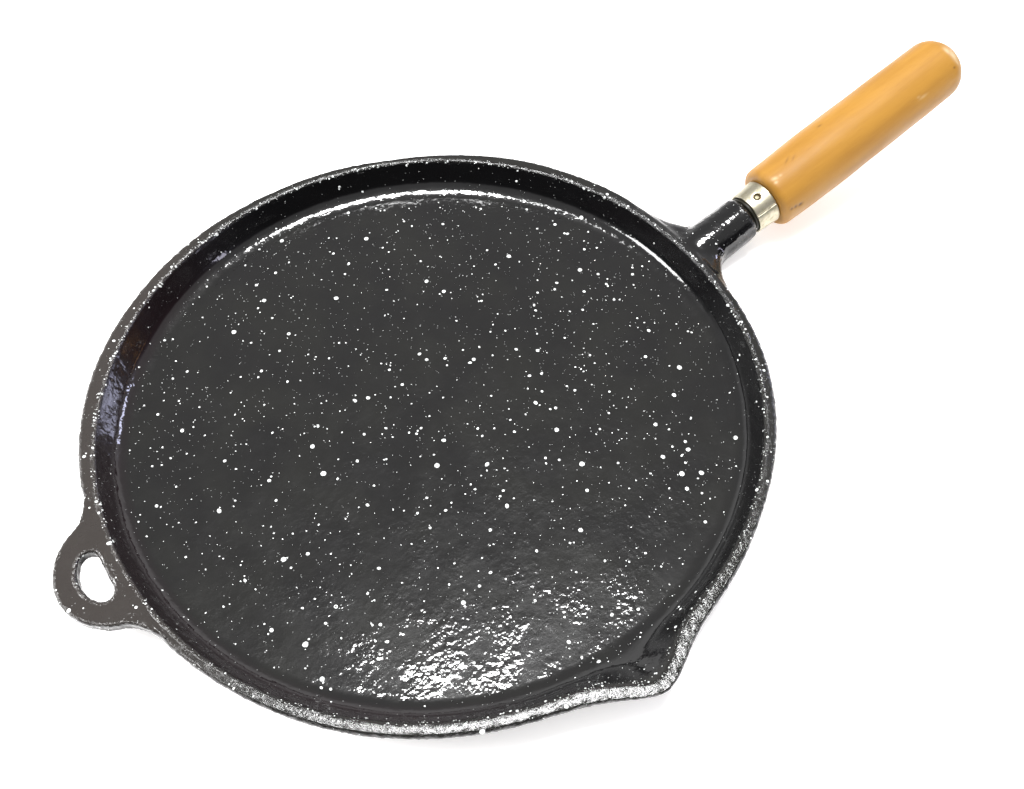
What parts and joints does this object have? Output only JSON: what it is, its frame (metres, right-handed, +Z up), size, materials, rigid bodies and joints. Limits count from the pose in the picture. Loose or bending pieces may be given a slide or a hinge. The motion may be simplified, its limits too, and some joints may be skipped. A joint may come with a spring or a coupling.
{
  "type": "griddle pan",
  "caption": "Round shallow cast griddle in black enamel with white flecks, a pouring lip, a flat hanging ear with a D-shaped hole, a cast handle boss and a turned wooden grip behind a steel ferrule.",
  "frame": {"origin": "centre of the round flat base, on the surface that the pan stands on", "axes": "+X along the handle, away from the pan; +Z up, out of the mouth; the pouring lip is on the -Y side and the hanging ear on the -X side"},
  "size_m": [0.4616, 0.2905, 0.0629],
  "materials": {
    "enamel": "glossy black vitreous enamel with white flecks, on cast iron",
    "ferrule_steel": "pale rolled steel band, lightly brushed",
    "brad_steel": "dull wire brad",
    "wood": "honey-coloured turned wood under clear lacquer",
    "rod_steel": "bright zinc-plated steel"
  },
  "bodies": {
    "root": {"pan_casting": "enamel", "ferrule": "ferrule_steel", "ferrule_brad": "brad_steel", "grip": "wood", "tie_rod": "rod_steel", "end_washer": "rod_steel", "end_nut": "rod_steel"}
  },
  "joints": []
}
